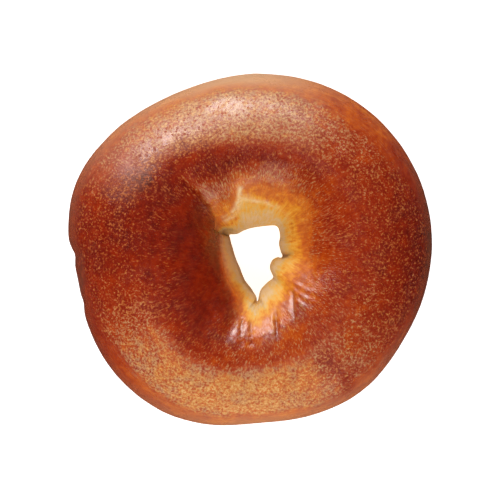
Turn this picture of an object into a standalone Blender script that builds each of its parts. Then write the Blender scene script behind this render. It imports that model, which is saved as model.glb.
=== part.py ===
"""A plain baked bagel, as one closed solid.

The dough is a rope bent into a ring. Seen from above it has a nearly round outside and a hole like a
narrow trapezium, whose lip is pushed in by a nub and by soft lobes of dough. Seen in section the ring
is a dome on a flat foot, with its widest point low down and its tightest point at the lip of the hole.

The ring starts as a torus. Each vertex keeps two angles from it: the ring angle, round the bagel from +X
towards +Y, and the section angle, round the dough from the outer side over the crest to the lip.
"""

import math

import bpy
import numpy as np

MM = 0.001

# Driving dimensions
WIDTH = 110.0 * MM  # across X
DEPTH = 106.6 * MM  # across Y
HEIGHT = 37.0 * MM

# Facets
RING_STEPS = 128
SECTION_STEPS = 36
TORUS_MAJOR = 0.30 * WIDTH  # the torus that the ring starts from, before its vertices are placed
TORUS_MINOR = 0.20 * WIDTH

# Where the section turns, as angles round the dough
LIP_ANGLE = math.pi
FOOT_START = math.radians(228.0)
FOOT_END = math.radians(318.0)

# Outside of the ring from above: ring angle in degrees, distance from the centre in mm
OUTSIDE = [
    (0, 55.4),
    (24, 55.7),
    (45, 55.4),
    (66, 54.4),
    (90, 53.0),
    (108, 52.1),
    (124, 52.8),
    (142, 54.8),
    (158, 56.4),
    (174, 55.4),
    (190, 53.0),
    (205, 54.4),
    (220, 55.7),
    (238, 56.3),
    (255, 55.2),
    (273, 53.1),
    (290, 54.0),
    (308, 55.1),
    (330, 54.4),
    (345, 54.9),
]

# Funnel of the hole from above, as it would be without folds: ring angle in degrees, then X and Y in mm
FUNNEL = [
    (8, 9.9, 1.2),
    (40, 9.2, 6.6),
    (72, 3.4, 7.2),
    (105, -2.0, 6.2),
    (143, -6.4, 4.3),
    (178, -5.2, -0.7),
    (204, -4.6, -6.6),
    (220, -5.4, -12.0),
    (234, -6.2, -16.4),
    (248, -3.8, -19.2),
    (264, 1.4, -19.8),
    (280, 6.6, -18.0),
    (296, 9.2, -13.6),
    (316, 9.8, -8.4),
    (342, 10.2, -3.6),
]

# Lip of the hole from above, with its nub and lobes: ring angle in degrees, then X and Y in mm
LIP = [
    (5, 9.0, 1.4),
    (20, 9.3, 3.8),
    (36, 8.7, 6.2),
    (48, 7.4, 7.0),
    (75, 3.0, 6.6),
    (100, -1.2, 5.9),
    (122, -3.9, 4.8),
    (143, -6.4, 4.2),
    (178, -4.9, -0.7),
    (205, -3.0, -5.6),
    (222, -1.5, -9.6),
    (236, 0.4, -11.9),
    (248, 1.7, -14.0),
    (262, 2.4, -15.9),
    (274, 3.0, -14.2),
    (282, 3.4, -12.4),
    (296, 5.2, -10.2),
    (308, 7.0, -8.4),
    (320, 5.8, -5.6),
    (331, 6.6, -3.4),
    (341, 8.1, -2.5),
    (351, 9.6, -2.2),
]
LIP_REACH = 7.0 * MM  # how far up the wall the nub and lobes fade out

# Height of the crest above the foot, as a share of HEIGHT: ring angle in degrees, share
CREST_HEIGHT = [
    (0, 0.97),
    (60, 0.99),
    (110, 0.96),
    (165, 1.00),
    (215, 0.98),
    (270, 0.89),
    (320, 0.94),
]

# Place of the crest between the lip and the outside, as a share of that distance
CREST_PLACE = [
    (0, 0.50),
    (45, 0.52),
    (90, 0.52),
    (135, 0.52),
    (180, 0.54),
    (225, 0.50),
    (270, 0.40),
    (315, 0.43),
]

# How conical the funnel's wall is, over 1 for a straighter slope: ring angle in degrees, power
WALL_POWER = [
    (0, 1.25),
    (45, 1.50),
    (95, 1.30),
    (140, 1.05),
    (180, 0.90),
    (225, 0.90),
    (270, 1.00),
    (315, 1.00),
]

# Height of the widest point of the side above the foot: ring angle in degrees, height in mm
SIDE_HEIGHT = [
    (20, 15.0),
    (100, 13.5),
    (180, 14.5),
    (245, 12.0),
    (320, 14.0),
]

# Height of the lip, the tightest point of the hole, above the foot: ring angle in degrees, height in mm
LIP_HEIGHT = [
    (30, 11.5),
    (90, 9.0),
    (145, 8.0),
    (205, 9.5),
    (235, 12.0),
    (262, 18.0),
    (290, 13.0),
    (325, 10.5),
]

FOOT_INNER = 0.17  # edges of the flat foot, as shares of the distance from lip to outside
FOOT_OUTER = 0.85
SHOULDER_POWER = 0.96  # under 1 makes the outer side of the dome squarer than an ellipse

# Dents in the outside: ring angle, width round the ring and depth, in degrees, degrees and mm
SIDE_DENTS = [
    (182, 2.6, 0.9),
    (198, 2.2, 0.4),
]
DENT_RISE = 8.0 * MM  # over this height they fade in from the foot

# Grooves between folds, from the lip outwards: points in mm from above, half width in mm, depth in mm
GROOVES = [
    ([(-8.6, 5.2), (-10.4, 8.0), (-11.8, 12.6), (-15.8, 16.9), (-19.2, 19.9)], 1.3, 1.1),
    ([(9.6, -2.0), (11.8, -1.5), (14.6, 0.2)], 0.8, 0.8),
    ([(1.9, -15.8), (0.2, -17.2), (-2.0, -18.6)], 0.8, 0.7),
    ([(2.9, -15.4), (4.0, -16.8), (5.4, -18.8)], 0.8, 0.7),
    ([(7.2, -19.0), (7.8, -23.0), (8.2, -27.0)], 0.8, 0.6),
    ([(12.6, -13.0), (12.9, -17.0), (13.2, -21.0)], 0.9, 0.5),
    ([(-4.4, -21.5), (-4.2, -27.0)], 0.8, 0.4),
]
GROOVE_FADE = 0.8  # share of its depth that a groove loses by its outer end
GROOVE_BOTTOM = 8.0 * MM  # height where the grooves begin, and over which they reach their depth
GROOVE_RISE = 4.0 * MM


def clear_scene():
    for leftover in list(bpy.data.objects):
        bpy.data.objects.remove(leftover)


def round_the_ring(knots, angle, column=1):
    """A smooth closed curve through one column of a list of knots, read at ring angles in radians."""
    places = np.radians([knot[0] for knot in knots])
    values = np.array([knot[column] for knot in knots])
    turn = 2.0 * math.pi
    places = np.concatenate([places[-2:] - turn, places, places[:2] + turn])
    values = np.concatenate([values[-2:], values, values[:2]])
    slopes = (values[2:] - values[:-2]) / (places[2:] - places[:-2])

    angle = (angle - places[1]) % turn + places[1]
    left = np.clip(np.searchsorted(places, angle, side="right") - 1, 1, len(places) - 3)
    span = places[left + 1] - places[left]
    t = (angle - places[left]) / span
    return (
        (2 * t**3 - 3 * t**2 + 1) * values[left]
        + (t**3 - 2 * t**2 + t) * span * slopes[left - 1]
        + (3 * t**2 - 2 * t**3) * values[left + 1]
        + (t**3 - t**2) * span * slopes[left]
    )


def bent(wave, power):
    """A cosine or sine of the section angle, bent by a power so that the ellipse gets another slope."""
    return np.sign(wave) * np.abs(wave) ** power


def section(ring, turn):
    """Where a vertex sits in its section: share of the way from lip to outside, and height."""
    crest = round_the_ring(CREST_PLACE, ring)
    crest_height = round_the_ring(CREST_HEIGHT, ring) * HEIGHT
    outer = np.cos(turn) > 0
    power = np.where(outer, SHOULDER_POWER, round_the_ring(WALL_POWER, ring))
    side = bent(np.cos(turn), power)
    rise = bent(np.sin(turn), power)
    side_height = round_the_ring(SIDE_HEIGHT, ring) * MM
    lip_height = round_the_ring(LIP_HEIGHT, ring) * MM
    share = np.where(outer, crest + (1 - crest) * side, crest + crest * side)
    base = np.where(outer, side_height, lip_height)
    height = base + (crest_height - base) * rise

    under_lip = (turn > LIP_ANGLE) & (turn <= FOOT_START)
    curl = 0.5 * math.pi * (turn - LIP_ANGLE) / (FOOT_START - LIP_ANGLE)
    share = np.where(under_lip, FOOT_INNER * (1 - np.cos(curl)), share)
    height = np.where(under_lip, lip_height * (1 - np.sin(curl)), height)

    foot = (turn > FOOT_START) & (turn < FOOT_END)
    along = (turn - FOOT_START) / (FOOT_END - FOOT_START)
    share = np.where(foot, FOOT_INNER + (FOOT_OUTER - FOOT_INNER) * along, share)
    height = np.where(foot, 0.0, height)

    under_side = turn >= FOOT_END
    curl = 0.5 * math.pi * (2 * math.pi - turn) / (2 * math.pi - FOOT_END)
    share = np.where(under_side, 1 - (1 - FOOT_OUTER) * (1 - np.cos(curl)), share)
    height = np.where(under_side, side_height * (1 - np.sin(curl)), height)
    return share, height


def dough(ring, turn):
    """Every vertex's place on the ring of dough, with the nub and lobes of the lip."""
    share, height = section(ring, turn)
    radius = round_the_ring(OUTSIDE, ring) * MM
    risen = np.clip(height / DENT_RISE, 0.0, 1.0)
    for angle, width, depth in SIDE_DENTS:
        away = (np.degrees(ring) - angle + 180.0) % 360.0 - 180.0
        dent = depth * MM * np.exp(-((away / width) ** 2))
        radius -= dent * share**2 * risen
    outside = np.stack([radius * np.cos(ring), radius * np.sin(ring)], axis=1)
    funnel = np.stack([round_the_ring(FUNNEL, ring, column) for column in (1, 2)], axis=1) * MM
    lip = np.stack([round_the_ring(LIP, ring, column) for column in (1, 2)], axis=1) * MM

    distance = share * np.linalg.norm(outside - funnel, axis=1)
    fold = np.exp(-((distance / LIP_REACH) ** 2))
    plan = funnel + (outside - funnel) * share[:, None] + (lip - funnel) * fold[:, None]
    return np.column_stack([plan, height])


def distance_to_line(points, line):
    """Distance from each point to a line of points, both from above, and the share of the line passed."""
    nearest = np.full(len(points), np.inf)
    passed = np.zeros(len(points))
    line = np.array(line) * MM
    for step, (start, end) in enumerate(zip(line[:-1], line[1:])):
        run = end - start
        t = np.clip((points - start) @ run / (run @ run), 0.0, 1.0)
        away = np.linalg.norm(points - start - t[:, None] * run, axis=1)
        closer = away < nearest
        nearest = np.where(closer, away, nearest)
        passed = np.where(closer, (step + t) / (len(line) - 1), passed)
    return nearest, passed


def groove_depth(places):
    """How deep the folds' grooves cut at each vertex. They face upwards, so the underside has none."""
    depth = np.zeros(len(places))
    for line, half_width, deepest in GROOVES:
        away, passed = distance_to_line(places[:, :2], line)
        cut = deepest * MM * (1 - GROOVE_FADE * passed) * np.exp(-((away / (half_width * MM)) ** 2))
        depth = np.maximum(depth, cut)
    return depth * np.clip((places[:, 2] - GROOVE_BOTTOM) / GROOVE_RISE, 0.0, 1.0)


def vertex_normals(mesh):
    normals = np.empty(len(mesh.vertices) * 3, np.float32)
    mesh.vertex_normals.foreach_get("vector", normals)
    return normals.reshape(-1, 3).astype(float)


def read_places(mesh):
    places = np.empty(len(mesh.vertices) * 3, np.float32)
    mesh.vertices.foreach_get("co", places)
    return places.reshape(-1, 3).astype(float)


def write_places(mesh, places):
    mesh.vertices.foreach_set("co", places.astype(np.float32).ravel())
    mesh.update()


def fit_to_size(places):
    """Centres the ring over the origin, on its foot, and stretches it to the driving dimensions."""
    low = places.min(axis=0)
    high = places.max(axis=0)
    size = np.array([WIDTH, DEPTH, HEIGHT])
    base = np.array([(low[0] + high[0]) / 2, (low[1] + high[1]) / 2, low[2]])
    return (places - base) * size / (high - low)


def crust_material():
    material = bpy.data.materials.new("glazed_crust")
    material.use_nodes = True
    shader = material.node_tree.nodes["Principled BSDF"]
    shader.inputs["Base Color"].default_value = (0.31, 0.07, 0.016, 1.0)
    shader.inputs["Roughness"].default_value = 0.38
    shader.inputs["Metallic"].default_value = 0.0
    return material


def bagel(collection):
    bpy.ops.mesh.primitive_torus_add(
        major_segments=RING_STEPS,
        minor_segments=SECTION_STEPS,
        major_radius=TORUS_MAJOR,
        minor_radius=TORUS_MINOR,
    )
    ring_of_dough = bpy.context.object
    ring_of_dough.name = "bagel"
    mesh = ring_of_dough.data

    torus = read_places(mesh)
    ring = np.arctan2(torus[:, 1], torus[:, 0]) % (2 * math.pi)
    turn = np.arctan2(torus[:, 2], np.hypot(torus[:, 0], torus[:, 1]) - TORUS_MAJOR) % (2 * math.pi)
    write_places(mesh, dough(ring, turn))

    places = read_places(mesh)
    places -= vertex_normals(mesh) * groove_depth(places)[:, None]
    write_places(mesh, fit_to_size(places))

    mesh.shade_smooth()
    mesh.materials.append(crust_material())
    for holder in list(ring_of_dough.users_collection):
        holder.objects.unlink(ring_of_dough)
    collection.objects.link(ring_of_dough)


def main():
    clear_scene()
    collection = bpy.data.collections.new("bagel")
    bpy.context.scene.collection.children.link(collection)
    bagel(collection)


main()
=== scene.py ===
"""A plain baked bagel on a light table, seen from straight above."""

import math

import bpy
import numpy as np
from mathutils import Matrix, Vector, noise


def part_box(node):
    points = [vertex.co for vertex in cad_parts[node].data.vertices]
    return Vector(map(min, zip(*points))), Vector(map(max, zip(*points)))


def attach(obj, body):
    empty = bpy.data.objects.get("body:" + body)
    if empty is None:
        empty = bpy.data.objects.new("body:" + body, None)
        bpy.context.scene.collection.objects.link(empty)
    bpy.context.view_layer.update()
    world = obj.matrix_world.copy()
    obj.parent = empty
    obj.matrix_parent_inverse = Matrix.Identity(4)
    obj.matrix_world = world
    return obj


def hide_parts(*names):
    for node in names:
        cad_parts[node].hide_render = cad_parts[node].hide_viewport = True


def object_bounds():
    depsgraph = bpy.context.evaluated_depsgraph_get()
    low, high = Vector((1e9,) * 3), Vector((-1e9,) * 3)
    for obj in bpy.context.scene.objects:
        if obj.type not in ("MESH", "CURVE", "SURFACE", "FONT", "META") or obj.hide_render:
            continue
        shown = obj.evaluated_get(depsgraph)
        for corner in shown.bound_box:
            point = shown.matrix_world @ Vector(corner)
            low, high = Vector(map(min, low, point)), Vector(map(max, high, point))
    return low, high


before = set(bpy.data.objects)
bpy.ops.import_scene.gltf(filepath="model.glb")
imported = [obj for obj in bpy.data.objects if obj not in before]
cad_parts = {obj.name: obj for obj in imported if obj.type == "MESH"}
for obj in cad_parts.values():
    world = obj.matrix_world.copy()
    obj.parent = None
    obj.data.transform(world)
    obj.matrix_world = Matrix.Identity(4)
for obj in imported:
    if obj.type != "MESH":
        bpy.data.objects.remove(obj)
cad_low, cad_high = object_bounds()
MM = 0.001

# ---------------------------------------------------------------------------------------------------
# The dough. A bagel is one rope of stiff wheat dough, rolled and closed into a ring by hand, then
# boiled for a minute and baked. It swells into a dome over a flat foot, and its hole shrinks to a
# small uneven funnel, with a nub and soft lobes where the rope's two ends were pressed together.
# ---------------------------------------------------------------------------------------------------

RING_STEPS = 600
TOP_STEPS = 126  # round the section: outer side over the crest to the lip
UNDER_LIP_STEPS = 12
FOOT_STEPS = 7
UNDER_SIDE_STEPS = 21
SECTION_STEPS = TOP_STEPS + UNDER_LIP_STEPS + FOOT_STEPS + UNDER_SIDE_STEPS

# Outside of the ring from above: ring angle in degrees from +X towards +Y, distance from the centre in mm
OUTSIDE = [
    (0, 55.4),
    (24, 55.7),
    (45, 55.4),
    (66, 54.4),
    (90, 53.0),
    (108, 52.1),
    (124, 52.8),
    (142, 54.8),
    (158, 56.4),
    (174, 55.4),
    (190, 53.0),
    (205, 54.4),
    (220, 55.7),
    (238, 56.3),
    (255, 55.2),
    (273, 53.1),
    (290, 54.0),
    (308, 55.1),
    (330, 54.4),
    (345, 54.9),
]

# Funnel of the hole from above, as it would be without folds: ring angle, then X and Y in mm
FUNNEL = [
    (8, 9.9, 1.2),
    (40, 9.2, 6.6),
    (72, 3.4, 7.2),
    (105, -2.0, 6.2),
    (143, -6.4, 4.3),
    (178, -5.2, -0.7),
    (204, -4.6, -6.6),
    (220, -5.4, -12.0),
    (234, -6.2, -16.4),
    (248, -3.8, -19.2),
    (264, 1.4, -19.8),
    (280, 6.6, -18.0),
    (296, 9.2, -13.6),
    (316, 9.8, -8.4),
    (342, 10.2, -3.6),
]

# Lip of the hole from above, with its nub and lobes: ring angle, then X and Y in mm
LIP = [
    (5, 9.0, 1.4),
    (20, 9.3, 3.8),
    (36, 8.7, 6.2),
    (48, 7.4, 7.0),
    (75, 3.0, 6.6),
    (100, -1.2, 5.9),
    (122, -3.9, 4.8),
    (143, -6.4, 4.2),
    (178, -4.9, -0.7),
    (205, -3.0, -5.6),
    (222, -1.5, -9.6),
    (236, 0.4, -11.9),
    (248, 1.7, -14.0),
    (262, 2.4, -15.9),
    (274, 3.0, -14.2),
    (282, 3.4, -12.4),
    (296, 5.2, -10.2),
    (308, 7.0, -8.4),
    (320, 5.8, -5.6),
    (331, 6.6, -3.4),
    (341, 8.1, -2.5),
    (351, 9.6, -2.2),
]
LIP_REACH = 7.0 * MM

# The section: crest height as a share of the bagel's height, place of the crest from lip to outside,
# heights in mm of the widest point of the side and of the lip, and how conical the funnel's wall is
CREST_HEIGHT = [(0, 0.97), (60, 0.99), (110, 0.96), (165, 1.00), (215, 0.98), (270, 0.89), (320, 0.94)]
CREST_PLACE = [(0, 0.50), (45, 0.52), (90, 0.52), (135, 0.52), (180, 0.54), (225, 0.50), (270, 0.40), (315, 0.43)]
SIDE_HEIGHT = [(20, 15.0), (100, 13.5), (180, 14.5), (245, 12.0), (320, 14.0)]
LIP_HEIGHT = [(30, 11.5), (90, 9.0), (145, 8.0), (205, 9.5), (235, 12.0), (262, 18.0), (290, 13.0), (325, 10.5)]
WALL_POWER = [(0, 1.25), (45, 1.50), (95, 1.30), (140, 1.05), (180, 0.90), (225, 0.90), (270, 1.00), (315, 1.00)]
SHOULDER_POWER = 0.96
FOOT_INNER = 0.17
FOOT_OUTER = 0.85

# Dents in the outside: ring angle, width in degrees, depth in mm
SIDE_DENTS = [(182, 2.6, 0.9), (198, 2.2, 0.4)]
DENT_RISE = 8.0 * MM


def round_the_ring(knots, angle, column=1):
    """A smooth closed curve through one column of a list of knots, read at ring angles in radians."""
    places = np.radians([knot[0] for knot in knots])
    values = np.array([knot[column] for knot in knots])
    turn = 2.0 * math.pi
    places = np.concatenate([places[-2:] - turn, places, places[:2] + turn])
    values = np.concatenate([values[-2:], values, values[:2]])
    slopes = (values[2:] - values[:-2]) / (places[2:] - places[:-2])

    angle = (angle - places[1]) % turn + places[1]
    left = np.clip(np.searchsorted(places, angle, side="right") - 1, 1, len(places) - 3)
    span = places[left + 1] - places[left]
    t = (angle - places[left]) / span
    return (
        (2 * t**3 - 3 * t**2 + 1) * values[left]
        + (t**3 - 2 * t**2 + t) * span * slopes[left - 1]
        + (3 * t**2 - 2 * t**3) * values[left + 1]
        + (t**3 - t**2) * span * slopes[left]
    )


def ease(low, high, value):
    """0 below low, 1 above high, and a smooth rise between them."""
    t = np.clip((value - low) / (high - low), 0.0, 1.0)
    return t * t * (3.0 - 2.0 * t)


def bent(wave, power):
    """A sine or cosine bent by a power: over 1 gives a straighter slope, under 1 a squarer shoulder."""
    return np.sign(wave) * np.abs(wave) ** power


def section(ring, step):
    """Share of the way from lip to outside, and height, of each vertex, with step counted round the section."""
    crest = round_the_ring(CREST_PLACE, ring)
    crest_height = round_the_ring(CREST_HEIGHT, ring) * (cad_high.z - cad_low.z)
    side_height = round_the_ring(SIDE_HEIGHT, ring) * MM
    lip_height = round_the_ring(LIP_HEIGHT, ring) * MM

    turn = math.pi * step / TOP_STEPS
    outer = np.cos(turn) > 0
    power = np.where(outer, SHOULDER_POWER, round_the_ring(WALL_POWER, ring))
    side = bent(np.cos(turn), power)
    rise = bent(np.sin(turn), power)
    share = np.where(outer, crest + (1 - crest) * side, crest + crest * side)
    base = np.where(outer, side_height, lip_height)
    height = base + (crest_height - base) * rise

    past_lip = step - TOP_STEPS
    curl = 0.5 * math.pi * past_lip / UNDER_LIP_STEPS
    under_lip = (past_lip > 0) & (past_lip <= UNDER_LIP_STEPS)
    share = np.where(under_lip, FOOT_INNER * (1 - np.cos(curl)), share)
    height = np.where(under_lip, lip_height * (1 - np.sin(curl)), height)

    along = (past_lip - UNDER_LIP_STEPS) / FOOT_STEPS
    foot = (along > 0) & (along < 1)
    share = np.where(foot, FOOT_INNER + (FOOT_OUTER - FOOT_INNER) * along, share)
    height = np.where(foot, 0.0, height)

    to_side = SECTION_STEPS - step
    curl = 0.5 * math.pi * to_side / UNDER_SIDE_STEPS
    under_side = to_side <= UNDER_SIDE_STEPS
    share = np.where(under_side, 1 - (1 - FOOT_OUTER) * (1 - np.cos(curl)), share)
    height = np.where(under_side, side_height * (1 - np.sin(curl)), height)
    return share, height


def risen_dough(ring, share, height):
    """Every vertex's place on the ring of dough, with the nub and lobes of the lip."""
    radius = round_the_ring(OUTSIDE, ring) * MM
    for angle, width, depth in SIDE_DENTS:
        away = (np.degrees(ring) - angle + 180.0) % 360.0 - 180.0
        dent = depth * MM * np.exp(-((away / width) ** 2))
        radius -= dent * share**2 * np.clip(height / DENT_RISE, 0.0, 1.0)
    outside = np.stack([radius * np.cos(ring), radius * np.sin(ring)], axis=1)
    funnel = np.stack([round_the_ring(FUNNEL, ring, column) for column in (1, 2)], axis=1) * MM
    lip = np.stack([round_the_ring(LIP, ring, column) for column in (1, 2)], axis=1) * MM

    distance = share * np.linalg.norm(outside - funnel, axis=1)
    fold = np.exp(-((distance / LIP_REACH) ** 2))
    plan = funnel + (outside - funnel) * share[:, None] + (lip - funnel) * fold[:, None]
    return np.column_stack([plan, height]), distance


def read_places(mesh):
    places = np.empty(len(mesh.vertices) * 3, np.float32)
    mesh.vertices.foreach_get("co", places)
    return places.reshape(-1, 3).astype(float)


def write_places(mesh, places):
    mesh.vertices.foreach_set("co", places.astype(np.float32).ravel())
    mesh.update()


def fit_to_frame(places):
    """Stretches the places to fill the CAD solid's box."""
    low, high = places.min(axis=0), places.max(axis=0)
    box_low, box_high = np.array(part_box("bagel"))
    return box_low + (places - low) * (box_high - box_low) / (high - low)


bpy.ops.object.select_all(action="DESELECT")
TORUS_MAJOR = 33.0 * MM
bpy.ops.mesh.primitive_torus_add(
    major_segments=RING_STEPS,
    minor_segments=SECTION_STEPS,
    major_radius=TORUS_MAJOR,
    minor_radius=22.0 * MM,
)
bagel = bpy.context.object
bagel.name = "bagel_crust"
mesh = bagel.data

torus = read_places(mesh)
ring = np.arctan2(torus[:, 1], torus[:, 0]) % (2 * math.pi)
turn = np.arctan2(torus[:, 2], np.hypot(torus[:, 0], torus[:, 1]) - TORUS_MAJOR) % (2 * math.pi)
step = turn / (2 * math.pi) * SECTION_STEPS
step = np.where(step > SECTION_STEPS - 0.01, 0.0, step)
share, height = section(ring, step)
places, from_lip = risen_dough(ring, share, height)
top = step <= TOP_STEPS
write_places(mesh, fit_to_frame(places))
mesh.shade_smooth()

# ---------------------------------------------------------------------------------------------------
# The folds. Where the ends of the rope were pressed together, and where the hole closed up in the
# oven, the dough is creased and torn: grooves between soft lobes, and thin raised edges of skin.
# ---------------------------------------------------------------------------------------------------

# Points in mm from above, half width in mm, depth in mm at the first and the last point
GROOVES = [
    ([(9.6, -2.0), (11.8, -1.5), (14.6, 0.2)], 0.7, 0.9, 0.1),
    ([(1.9, -15.6), (0.0, -17.0), (-2.2, -18.4)], 0.4, 0.4, 0.1),
    ([(2.9, -15.4), (4.0, -16.8), (5.2, -18.6)], 0.4, 0.4, 0.1),
    ([(7.4, -17.0), (7.7, -22.0)], 0.4, 0.1, 1.0),
    ([(7.7, -22.0), (8.2, -28.0)], 0.4, 1.0, 0.2),
    ([(12.4, -12.5), (12.9, -17.0), (13.2, -22.0)], 0.5, 0.7, 0.2),
    ([(-2.3, -20.5), (-2.9, -28.0)], 0.4, 0.7, 0.3),
    ([(0.2, -21.0), (0.4, -28.0)], 0.35, 0.6, 0.3),
    ([(-7.0, 4.5), (-8.6, 5.0), (-10.6, 5.6)], 0.6, 1.0, 0.3),
]
RIDGES = [
    ([(-2.6, 18.2), (-3.0, 16.6), (-4.0, 13.9), (-5.2, 11.2), (-8.0, 9.6)], 0.42, 0.2, 0.4),
    ([(-3.2, 16.0), (0.0, 16.0), (1.5, 14.5), (5.0, 14.3), (7.5, 13.0), (10.0, 11.5), (12.0, 9.0)], 0.42, 0.3, 0.1),
    ([(6.2, -17.0), (6.6, -21.0)], 0.3, 0.0, 0.25),
    ([(6.6, -21.0), (6.9, -26.5)], 0.3, 0.25, 0.1),
]
# Where the skin tore away from the northern ridge and bared the dough under it, in the same terms
TORN = [
    ([(-3.0, 18.0), (-3.2, 15.4), (-3.6, 13.4)], 0.7, 0.7, 1.0),
    ([(-3.0, 14.6), (-3.6, 12.6), (-5.0, 10.6)], 1.0, 0.8, 0.6),
    ([(-4.4, 10.4), (-7.4, 8.4)], 0.6, 0.8, 0.5),
    ([(-2.4, 15.2), (0.6, 14.6), (4.0, 14.2)], 0.5, 0.8, 0.6),
    ([(4.0, 14.2), (6.6, 13.3), (8.6, 12.4)], 0.45, 0.8, 0.3),
]
# Wrinkles of skin in the south east, and the hollow west of the south lobe, in the same terms
SWELLS = [
    ([(12.6, -9.6), (16.0, -11.6), (19.5, -13.0)], 0.55, 0.35, 0.15),
    ([(13.0, -12.0), (16.0, -14.0), (19.0, -15.6)], 0.55, 0.35, 0.15),
    ([(13.2, -14.6), (15.6, -16.6), (18.0, -18.2)], 0.55, 0.35, 0.15),
    ([(-2.0, -18.4), (-4.8, -21.8), (-6.4, -24.0)], 2.4, -1.1, -0.8),
]
# The overlap at the north west, from the hole's corner outwards: the western arm lies over the northern one
OVERLAP = [(-7.0, 4.6), (-10.2, 6.0), (-10.5, 9.6), (-11.8, 12.6), (-15.8, 16.9), (-19.2, 19.9), (-23.0, 23.5)]
GROOVE_BOTTOM = 8.0 * MM
GROOVE_RISE = 4.0 * MM


def along_line(points, line):
    """Distance from each point to a line of points, share of the line passed, and the side it lies on."""
    line = np.array(line) * MM
    nearest = np.full(len(points), np.inf)
    passed = np.zeros(len(points))
    side = np.zeros(len(points))
    for step, (first, last) in enumerate(zip(line[:-1], line[1:])):
        run = last - first
        off = points - first
        t = np.clip(off @ run / (run @ run), 0.0, 1.0)
        away = np.linalg.norm(off - t[:, None] * run, axis=1)
        closer = away < nearest
        nearest = np.where(closer, away, nearest)
        passed = np.where(closer, (step + t) / (len(line) - 1), passed)
        side = np.where(closer, np.sign(run[0] * off[:, 1] - run[1] * off[:, 0]), side)
    return nearest, passed, side


def stroke(points, line, half_width, start, end):
    """A soft stroke along a line seen from above: start and end are its strengths at its two ends."""
    away, passed, side = along_line(points, line)
    return (start + (end - start) * passed) * np.exp(-((away / (half_width * MM)) ** 2))


def grain(points, size):
    """Smooth noise between about -1 and 1 whose bumps are about size apart."""
    return np.array([noise.noise(point) for point in points / size])


def vertex_normals(mesh):
    normals = np.empty(len(mesh.vertices) * 3, np.float32)
    mesh.vertex_normals.foreach_get("vector", normals)
    return normals.reshape(-1, 3).astype(float)


places = read_places(mesh)
wander = np.column_stack([grain(places, 2.4 * MM), grain(places + 1.0, 2.4 * MM)]) * 0.35 * MM
wander += np.column_stack([grain(places, 0.9 * MM), grain(places + 1.0, 0.9 * MM)]) * 0.22 * MM
from_above = places[:, :2] + wander
facing_up = np.clip((places[:, 2] - GROOVE_BOTTOM) / GROOVE_RISE, 0.0, 1.0)
groove = np.max([stroke(from_above, *line) for line in GROOVES], axis=0) * facing_up
ridge = np.max([stroke(from_above, *line) for line in RIDGES], axis=0) * facing_up

swell = np.sum([stroke(from_above, *line) for line in SWELLS], axis=0) * facing_up
bared = np.max([stroke(from_above, *line) for line in TORN], axis=0) * facing_up

away, passed, side = along_line(from_above, OVERLAP)
west = ease(-0.5 * MM, 0.5 * MM, side * away)
fading = (1 - passed) ** 0.7 * facing_up
over = 0.5 * np.exp(-((away / (2.6 * MM)) ** 2)) * fading
under = -1.1 * np.exp(-((away / (2.2 * MM)) ** 2)) * fading
step_up = under + (over - under) * west
places += vertex_normals(mesh) * ((ridge + swell - groove + step_up) * MM)[:, None]
write_places(mesh, places)

# ---------------------------------------------------------------------------------------------------
# The skin. Boiling sets a thin gelled skin, which the oven stretches, blisters and wrinkles: short
# wrinkles run down into the hole, and small bubbles roughen the top.
# ---------------------------------------------------------------------------------------------------


places = read_places(mesh)
round_place = np.column_stack([np.cos(ring), np.sin(ring)]) * 30.0 * MM
past_lip = step - TOP_STEPS - UNDER_LIP_STEPS
arc = np.where(past_lip > 0.5 * FOOT_STEPS, step - SECTION_STEPS, step) * 0.75 * MM
down_flow = np.column_stack([round_place, 0.32 * arc])
round_flow = np.column_stack([0.15 * round_place, arc])
lumps = grain(places, 14.0 * MM) * 0.35 + grain(places + 1.0, 7.0 * MM) * 0.40
funnel_wrinkles = grain(down_flow, 0.9 * MM) * 0.16 * ease(0.36, 0.15, share) * ease(0.0, 4.0 * MM, from_lip)
bubbles = grain(places + 2.0, 1.6 * MM) * 0.05
lumps *= 1.0 - 0.75 * ease(0.75, 0.95, share)
relief = (lumps + (funnel_wrinkles + bubbles) * top) * ease(0.0, 6.0 * MM, places[:, 2])
places += vertex_normals(mesh) * (relief * MM)[:, None]
write_places(mesh, fit_to_frame(places))

# ---------------------------------------------------------------------------------------------------
# The browning. The oven caramelises the skin: cream in the hole, golden and orange at its rim, red
# brown to mahogany on the top, and caramel on the outer slopes and sides.
# ---------------------------------------------------------------------------------------------------

# How many mm from the lip the skin turns golden, orange and brown: ring angle, then the three distances
TURNS = [
    (0, 3.2, 5.6, 9.5),
    (20, 2.2, 6.6, 11.0),
    (45, 2.8, 9.0, 14.0),
    (75, 6.2, 9.0, 16.0),
    (101, 7.2, 9.6, 16.0),
    (110, 3.8, 6.6, 11.6),
    (130, 3.0, 5.4, 10.0),
    (146, 2.4, 3.0, 4.2),
    (180, 2.8, 3.3, 4.0),
    (205, 2.7, 3.4, 4.5),
    (230, 1.8, 2.5, 3.8),
    (248, 3.2, 4.2, 6.4),
    (264, 4.2, 5.6, 7.8),
    (280, 4.2, 5.8, 8.2),
    (296, 3.8, 5.4, 9.0),
    (320, 3.2, 4.8, 11.0),
    (340, 3.8, 6.2, 12.0),
]
RAW, GOLDEN, ORANGE, BROWN = 0.02, 0.20, 0.38, 0.60

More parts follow.
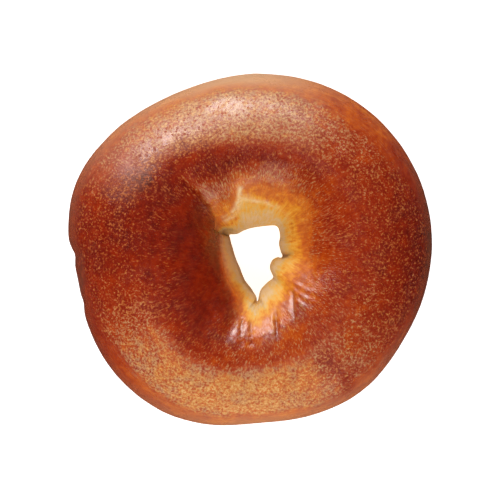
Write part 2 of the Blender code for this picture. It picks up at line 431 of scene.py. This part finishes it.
# Browning from 0, raw, to 1, mahogany, at some shares of the way across the ring: ring angle, browning
BROWNING = [
    (0.26, [(0, 0.66), (45, 0.62), (90, 0.46), (135, 0.78), (180, 0.86), (225, 0.82), (270, 0.60), (315, 0.62)]),
    (0.42, [(0, 0.73), (45, 0.70), (90, 0.82), (135, 0.84), (180, 0.86), (225, 0.76), (270, 0.65), (315, 0.67)]),
    (0.60, [(0, 0.73), (45, 0.68), (90, 0.62), (135, 0.80), (180, 0.84), (225, 0.54), (270, 0.48), (315, 0.62)]),
    (0.80, [(0, 0.87), (45, 0.64), (90, 0.56), (135, 0.61), (180, 0.82), (225, 0.54), (270, 0.45), (315, 0.61)]),
    (1.00, [(0, 0.95), (45, 0.54), (90, 0.46), (135, 0.54), (180, 0.84), (225, 0.70), (270, 0.48), (315, 0.64)]),
]
FOOT_BROWNING = 0.50
FOOT_PALENESS = 0.45

# Where the smooth side band starts, as a share of the way across
BAND = [(0, 0.98), (45, 0.84), (70, 0.87), (100, 0.91), (140, 0.94), (195, 0.95), (222, 0.87), (250, 0.89), (290, 0.92)]
BAND += [(320, 0.91)]

# How much paler that band is than the crust beside it: partly crust that the oven's heat from above browned less,
# partly a painted sheen where the rim faces the north and south lights
PALE_AND_SHEEN_BAND = [(0, 0.0), (40, 0.0), (60, 0.08), (75, 0.55), (90, 0.85), (110, 0.7), (135, 0.4), (160, 0.1), (180, 0.0)]
PALE_AND_SHEEN_BAND += [(222, 0.0), (245, 0.2), (275, 0.32), (300, 0.22), (322, 0.1), (340, 0.0)]

# How much of the outer slope lifted into golden flecks: ring angle, amount
FLECKS = [(0, 0.30), (45, 0.42), (70, 0.76), (95, 0.95), (120, 0.86), (138, 0.66), (152, 0.42), (195, 0.30)]
FLECKS += [(222, 0.66), (255, 0.85), (288, 0.78), (305, 0.50), (325, 0.38)]

# Where those flecks begin, as a share of the way across: ring angle, share
FLECKS_FROM = [(0, 0.48), (90, 0.48), (130, 0.55), (160, 0.53), (200, 0.48), (255, 0.42), (290, 0.43), (320, 0.46)]

# Pools of egg wash that ran together: points in mm from above, half width in mm, amount at the two ends
POOLS = [
    ([(-29.0, 27.5), (-22.0, 32.5), (-16.0, 34.0)], 4.0, 1.0, 0.6),
    ([(-10.0, 43.0), (-1.0, 43.5)], 3.6, 0.9, 0.6),
    ([(5.5, 41.5), (13.0, 41.0)], 3.0, 0.4, 0.3),
    ([(-20.0, 24.5), (-9.0, 34.0)], 2.5, 0.5, 0.5),
]

# Spots that scorched, in the same terms
SCORCHES = [
    ([(22.0, -32.0), (27.5, -37.5), (30.0, -41.0)], 2.6, 0.16, 0.16),
    ([(-36.0, 24.0), (-31.0, 22.0)], 3.0, 0.10, 0.10),
]

stations = np.array([place for place, knots in BROWNING])
chart = np.stack([round_the_ring(knots, ring) for place, knots in BROWNING], axis=1)
right = np.clip(np.searchsorted(stations, share), 1, len(stations) - 1)
blend = np.clip((share - stations[right - 1]) / (stations[right] - stations[right - 1]), 0.0, 1.0)
rows = np.arange(len(share))
baked = chart[rows, right - 1] * (1 - blend) + chart[rows, right] * blend
turns = np.stack([round_the_ring(TURNS, ring, column) * MM for column in (1, 2, 3)])
near_lip = RAW + (GOLDEN - RAW) * ease(0.5, 1.0, from_lip / turns[0])
near_lip += (ORANGE - GOLDEN) * np.clip((from_lip - turns[0]) / (turns[1] - turns[0]), 0.0, 1.0)
near_lip += (BROWN - ORANGE) * np.clip((from_lip - turns[1]) / (turns[2] - turns[1]), 0.0, 1.0)
skin = ease(0.5 * (turns[0] + turns[1]), turns[2], from_lip)
browning = near_lip + (baked - BROWN) * ease(0.5 * (turns[1] + turns[2]), 1.3 * turns[2], from_lip)
near_overlap = np.exp(-((away / (4.0 * MM)) ** 2)) * fading
overlap_browning = 0.42 + (0.86 - 0.42) * west
browning += (overlap_browning - browning) * near_overlap * ease(1.0 * MM, 4.0 * MM, from_lip)
below = RAW + (FOOT_BROWNING - RAW) * ease(0.5 * FOOT_INNER, 1.7 * FOOT_INNER, share)
below += (browning - below) * ease(FOOT_OUTER - 0.04, 0.98, share)
browning = np.where(top, browning, below)
browning += np.max([stroke(from_above, *scorch) for scorch in SCORCHES], axis=0) * ease(0.4, 0.6, share) * top

ragged = grain(places + 3.0, 5.0 * MM) * 0.025
band = ease(-0.05, 0.05, share - round_the_ring(BAND, ring) + ragged) * top + ~top
degrees = np.degrees(ring)
north = ease(45.0, 75.0, degrees) * ease(165.0, 145.0, degrees)
south = ease(205.0, 230.0, degrees) * ease(325.0, 285.0, degrees)
flecks_from = round_the_ring(FLECKS_FROM, ring)
outer_slope = ease(flecks_from, flecks_from + 0.12, share) * (1 - band)
west_wall = ease(0.45, 0.30, share) * ease(130.0, 150.0, degrees) * ease(250.0, 225.0, degrees)
pitted = (north + south) * outer_slope
flecked = 0.30 + (round_the_ring(FLECKS, ring) - 0.30) * outer_slope
flecked += 0.25 * ease(45.0, 75.0, degrees) * ease(145.0, 120.0, degrees) * ease(0.40, 0.32, share)
flecked *= (1 - 0.8 * west_wall) * skin * (1 - 0.8 * band)
standing = ease(0.5 * MM, 3.0 * MM, places[:, 2])
drawn = ease(0.62, 0.40, share) * standing
west_strip = ease(135.0, 155.0, degrees) * ease(250.0, 235.0, degrees) * ease(turns[2], turns[0], from_lip)
above_foot = 0.4 * ease(2.0 * MM, 8.0 * MM, places[:, 2]) + 0.6 * ease(8.0 * MM, 16.0 * MM, places[:, 2])
pale_and_sheen = round_the_ring(PALE_AND_SHEEN_BAND, ring) * band * ease(0.75, 0.95, share) * above_foot
pale_and_sheen += 0.13 * ease(0.90, 1.0, share) * above_foot
# Painted sheen: the north outer slope, which faces the key light, made paler
pale_and_sheen += 0.12 * north * outer_slope
pale_and_sheen += FOOT_PALENESS * (1 - standing) * ease(FOOT_INNER, 2.0 * FOOT_INNER, share)
pale_and_sheen += 0.55 * west_strip * ease(225.0, 195.0, degrees)
inner_slope = ease(0.08, 0.14, share) * ease(0.33, 0.25, share)
glazed = (0.9 * ease(225.0, 240.0, degrees) * ease(340.0, 325.0, degrees) + 0.35 * north) * inner_slope
glazed *= ease(0.8 * turns[1], 1.2 * turns[1], from_lip)
glazed += np.max([stroke(from_above, *pool) for pool in POOLS], axis=0) * outer_slope
# Painted shade: darker in the grooves, in a thin line where the western lip turns under, and over the southern half of
# the western wall
painted_shade = 0.6 * np.clip(groove, 0.0, 1.0) + 0.35 * ease(1.1 * MM, 0.3 * MM, from_lip) * west_strip * top
painted_shade += 0.25 * west_strip * ease(200.0, 225.0, degrees)


def add_attribute(mesh, name, values):
    kind, field = ("FLOAT", "value") if values.ndim == 1 else ("FLOAT_VECTOR", "vector")
    attribute = mesh.attributes.new(name, kind, "POINT")
    attribute.data.foreach_set(field, values.astype(np.float32).ravel())


add_attribute(mesh, "browning", browning)
add_attribute(mesh, "painted_shade", painted_shade)
add_attribute(mesh, "torn_edge", np.clip(bared + ridge, 0.0, 1.0))
add_attribute(mesh, "pitted", pitted)
add_attribute(mesh, "flecked", flecked)
add_attribute(mesh, "drawn", drawn)
add_attribute(mesh, "band", band * standing)
add_attribute(mesh, "pale_and_sheen", pale_and_sheen)
add_attribute(mesh, "glazed", glazed)
add_attribute(mesh, "down_flow", down_flow)
add_attribute(mesh, "round_flow", round_flow)


def srgb(code):
    """The linear colour of a hex code."""
    values = [int(code[i : i + 2], 16) / 255.0 for i in (0, 2, 4)]
    return [v / 12.92 if v <= 0.04045 else ((v + 0.055) / 1.055) ** 2.4 for v in values] + [1.0]


def per_mm(size):
    """A texture's scale for a pattern whose cells are size mm wide."""
    return 1000.0 / size


crust = bpy.data.materials.new("baked_bagel_crust")
crust.use_nodes = True
tree = crust.node_tree
shader = tree.nodes["Principled BSDF"]


def add(kind, inputs=(), output=0, **settings):
    """Adds a node to the crust and gives back one of its outputs. inputs are values or other outputs."""
    made = tree.nodes.new("ShaderNode" + kind)
    for name, value in settings.items():
        setattr(made, name, value)
    for name, value in dict(inputs).items():
        if isinstance(value, bpy.types.NodeSocket):
            tree.links.new(value, made.inputs[name])
        else:
            made.inputs[name].default_value = value
    return made.outputs[output]


where = add("TexCoord", output="Object")
browning, painted_shade, torn_edge, pitted, flecked, drawn, band, pale_and_sheen, glazed = [
    add("Attribute", output="Fac", attribute_name=name)
    for name in ("browning", "painted_shade", "torn_edge", "pitted", "flecked", "drawn", "band", "pale_and_sheen", "glazed")
]
down_flow, round_flow = [
    add("Attribute", output="Vector", attribute_name=name) for name in ("down_flow", "round_flow")
]

# Uneven heat: patches 7 mm and mottling 2 mm apart
patches = add("TexNoise", {"Vector": where, "Scale": per_mm(7.0), "Detail": 3.0})
mottle = add("TexNoise", {"Vector": where, "Scale": per_mm(2.0), "Detail": 2.0, "Roughness": 0.6})
uneven = add("Math", {0: patches, 1: mottle}, operation="ADD")
uneven = add("MapRange", {"Value": uneven, "From Min": 0.6, "From Max": 1.4, "To Min": -0.13, "To Max": 0.13})
browned = add("Math", {0: browning, 1: uneven}, operation="ADD")

# Raw dough in the hole, streaked gold where it was drawn down as the hole closed
streaked = add("TexNoise", {"Vector": down_flow, "Scale": per_mm(1.5), "Detail": 4.0, "Roughness": 0.65})
streaked = add("MapRange", {"Value": streaked, "From Min": 0.3, "From Max": 0.7, "To Min": -0.09, "To Max": 0.13})
bare = add("MapRange", {"Value": browning, "From Min": 0.52, "From Max": 0.30})
browned = add("Math", {0: streaked, 1: bare, 2: browned}, operation="MULTIPLY_ADD")

# Blisters: the boiled skin lifts into a fine grain, drawn out down the hole's slopes and round the sides
grits = []
for flow, size in ((where, 0.72), (down_flow, 0.50), (round_flow, 0.9)):
    grits.append(add("TexNoise", {"Vector": flow, "Scale": per_mm(size), "Detail": 2.0, "Roughness": 0.75}))
blister = add("TexVoronoi", {"Vector": where, "Scale": per_mm(0.5)}, output="Color")
blister = add("MapRange", {"Value": blister, "To Min": -0.07, "To Max": 0.07})
blistered = add("Math", {0: grits[0], 1: blister}, operation="ADD")
grit = add("Mix", {0: drawn, 2: blistered, 3: grits[1]})
grit = add("Mix", {0: band, 2: grit, 3: grits[2]})
skinned = add("MapRange", {"Value": flecked, "From Max": 0.3})
browner = add("MapRange", {"Value": grit, "From Min": 0.3, "From Max": 0.7, "To Min": 0.05, "To Max": -0.05})
browned = add("Math", {0: browner, 1: skinned, 2: browned}, operation="MULTIPLY_ADD")

# Where it lifted most it thinned to golden flecks, sparse on the top and dense on the outer slopes
lifted = add("MapRange", {"Value": flecked, "From Min": 0.3, "From Max": 0.9, "To Min": 0.01, "To Max": 0.18})
lifted = add("Math", {0: patches, 1: 0.2, 2: lifted}, operation="MULTIPLY_ADD")
lifted = add("Math", {0: grit, 1: lifted}, operation="ADD")
fleck = add("MapRange", {"Value": lifted, "From Min": 0.65, "From Max": 0.78})
fleck = add("Math", {0: fleck, 1: skinned}, operation="MULTIPLY")
# Painted glints: where the grain lifts highest the colour is lightened as tiny highlights would be
painted_glint = add("MapRange", {"Value": lifted, "From Min": 0.80, "From Max": 1.06})
painted_glint = add("Math", {0: painted_glint, 1: skinned}, operation="MULTIPLY")

# Pores: bubbles burst in the lifted skin and bare the darker, duller crust under it
bend = add("TexNoise", {"Vector": where, "Scale": per_mm(0.9)}, output="Color")
bend = add("VectorMath", {0: bend, "Scale": 0.8 * MM}, operation="SCALE")
bend = add("VectorMath", {0: where, 1: bend}, operation="ADD")
cell = add("TexVoronoi", {"Vector": bend, "Scale": per_mm(1.1)}).node
size = add("SeparateColor", {"Color": cell.outputs["Color"]})
pore = add("Math", {0: size, 1: 0.46, 2: 0.04}, operation="MULTIPLY_ADD")
pore = add("Math", {0: pore, 1: cell.outputs["Distance"]}, operation="SUBTRACT")
pore = add("MapRange", {"Value": pore, "From Min": -0.04, "From Max": 0.12})
pore = add("Math", {0: pore, 1: pitted}, operation="MULTIPLY")
whole = add("Math", {0: 1.0, 1: pore}, operation="SUBTRACT")
browned = add("Math", {0: pore, 1: 0.03, 2: browned}, operation="MULTIPLY_ADD")
fleck = add("Math", {0: fleck, 1: whole}, operation="MULTIPLY")

SKIN_COLOURS = [
    (0.00, "e6c692"),
    (0.10, "e6be6e"),
    (0.20, "f0b644"),
    (0.30, "e8961e"),
    (0.42, "d06c1a"),
    (0.52, "bc5412"),
    (0.62, "a63a08"),
    (0.73, "902504"),
    (0.86, "771602"),
    (1.00, "580c02"),
]
FLECK_COLOURS = [
    (0.00, "f4e8c8"),
    (0.30, "ecc484"),
    (0.44, "d08e3c"),
    (0.52, "c28244"),
    (0.60, "b48056"),
    (0.70, "b8682e"),
    (0.90, "a8501e"),
]
ramps = []
for colours in (SKIN_COLOURS, FLECK_COLOURS):
    ramp = add("ValToRGB", {"Fac": browned}).node
    stops = ramp.color_ramp.elements
    stops[1].position = 1.0
    for stop, (place, code) in zip(stops, (colours[0], colours[-1])):
        stop.position, stop.color = place, srgb(code)
    for place, code in colours[1:-1]:
        stops.new(place).color = srgb(code)
    ramps.append(ramp.outputs["Color"])
crust_colour, fleck_colour = ramps
torn = add("MapRange", {"Value": mottle, "From Min": 0.30, "From Max": 0.50})
torn = add("Math", {0: torn, 1: torn_edge}, operation="MULTIPLY")
layers = [
    (pale_and_sheen, srgb("cca078"), "MIX"),  # skin that dried before it browned, on the sides, foot and western wall, with painted sheen on the north and south rims and the north slope
    (fleck, fleck_colour, "MIX"),
    (painted_glint, srgb("e0b070"), "MIX"),  # the thinnest, palest flecks, lightened further as painted glints of light
    (torn, srgb("f8e0aa"), "MIX"),  # raw dough on a torn edge
    (painted_shade, srgb("8c5c3c"), "MULTIPLY"),  # painted shade deep in a fold and over the western wall of the hole
]
for amount, colour, blend in layers:
    sockets = {0: amount, 6: crust_colour, 7: colour}
    crust_colour = add("Mix", sockets, output=2, data_type="RGBA", blend_type=blend)
tree.links.new(crust_colour, shader.inputs["Base Color"])

# The egg-wash gloss, dull only in the pores
height = add("Math", {0: mottle, 1: 0.5, 2: grit}, operation="MULTIPLY_ADD")
normal = add("Bump", {"Height": height, "Distance": 0.2 * MM, "Strength": 0.7})
tree.links.new(normal, shader.inputs["Normal"])
rough = add("MapRange", {"Value": patches, "From Min": 0.3, "From Max": 0.7, "To Min": 0.18, "To Max": 0.32})
rough = add("Math", {0: pitted, 1: 0.2, 2: rough}, operation="MULTIPLY_ADD")
rough = add("Math", {0: pore, 1: 0.2, 2: rough}, operation="MULTIPLY_ADD")
rough = add("Math", {0: bare, 1: 0.35, 2: rough}, operation="MULTIPLY_ADD")
tree.links.new(rough, shader.inputs["Roughness"])
shader.inputs["IOR"].default_value = 1.7

# Where the egg wash pooled it dried as a thicker, smoother coat
pool = add("MapRange", {"Value": uneven, "From Min": -0.04, "From Max": 0.03})
pool = add("Math", {0: pool, 1: glazed}, operation="MULTIPLY")
pool = add("Math", {0: pool, 1: whole}, operation="MULTIPLY")
tree.links.new(pool, shader.inputs["Coat Weight"])
streaks = add("Bump", {"Height": grit, "Distance": 0.1 * MM, "Strength": 0.4})
tree.links.new(streaks, shader.inputs["Coat Normal"])
shader.inputs["Coat Roughness"].default_value = 0.24
shader.inputs["Coat IOR"].default_value = 1.9
mesh.materials.append(crust)

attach(bagel, "root")
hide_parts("bagel")

# ---------------------------------------------------------------------------------------------------
# The stage: a white light table, a large soft light low in the north west, a weaker one in the south
# ---------------------------------------------------------------------------------------------------

bpy.ops.mesh.primitive_plane_add(size=6.0, location=(0, 0, cad_low.z - 0.1 * MM))
table = bpy.context.object
table.name = "light_table"
opal = bpy.data.materials.new("opal_acrylic_lit_from_below")
opal.use_nodes = True
glow = opal.node_tree.nodes["Principled BSDF"]
glow.inputs["Base Color"].default_value = srgb("f2f2f2")
glow.inputs["Roughness"].default_value = 0.9
glow.inputs["Emission Color"].default_value = srgb("ffffff")
glow.inputs["Emission Strength"].default_value = 0.8
table.data.materials.append(opal)
table.visible_glossy = False


def softbox(name, azimuth, elevation, distance, size, power, colour):
    """An area light that faces the bagel. Azimuth is counted from +X towards +Y."""
    light = bpy.data.lights.new(name, "AREA")
    light.shape = "RECTANGLE"
    light.size, light.size_y = size
    light.energy = power
    light.color = srgb(colour)[:3]
    holder = bpy.data.objects.new(name, light)
    bpy.context.scene.collection.objects.link(holder)
    a, e = math.radians(azimuth), math.radians(elevation)
    holder.location = [distance * c for c in (math.cos(a) * math.cos(e), math.sin(a) * math.cos(e), math.sin(e))]
    holder.rotation_euler = (math.radians(90.0 - elevation), 0.0, math.radians(azimuth + 90.0))
    return holder


softbox("key_softbox", 106.0, 30.0, 0.8, (0.64, 0.42), 4.5, "fff6f2")
softbox("fill_softbox", 280.0, 16.0, 0.8, (0.42, 0.30), 0.9, "ffe8d0")
overhead = softbox("overhead_softbox", 255.0, 58.0, 0.8, (0.6, 0.6), 3.4, "fff6f2")
overhead.visible_glossy = False
world = bpy.data.worlds.new("studio")
bpy.context.scene.world = world
world.use_nodes = True
world.node_tree.nodes["Background"].inputs["Color"].default_value = srgb("ffffff")
world.node_tree.nodes["Background"].inputs["Strength"].default_value = 0.42
world.cycles_visibility.glossy = False

# A long lens, straight above
LENS = 150.0
SENSOR = 36.0
VIEW_WIDTH = 151.5 * MM  # what the frame takes in, at the height of the bagel's widest point
WIDEST_HEIGHT = 14.0 * MM
camera_data = bpy.data.cameras.new("camera")
camera_data.lens = LENS
camera_data.sensor_width = SENSOR
camera = bpy.data.objects.new("camera", camera_data)
camera.location = (0.0, -0.1 * MM, WIDEST_HEIGHT + VIEW_WIDTH * LENS / SENSOR)
bpy.context.scene.collection.objects.link(camera)
bpy.context.scene.camera = camera
bpy.context.scene.view_settings.view_transform = "Standard"
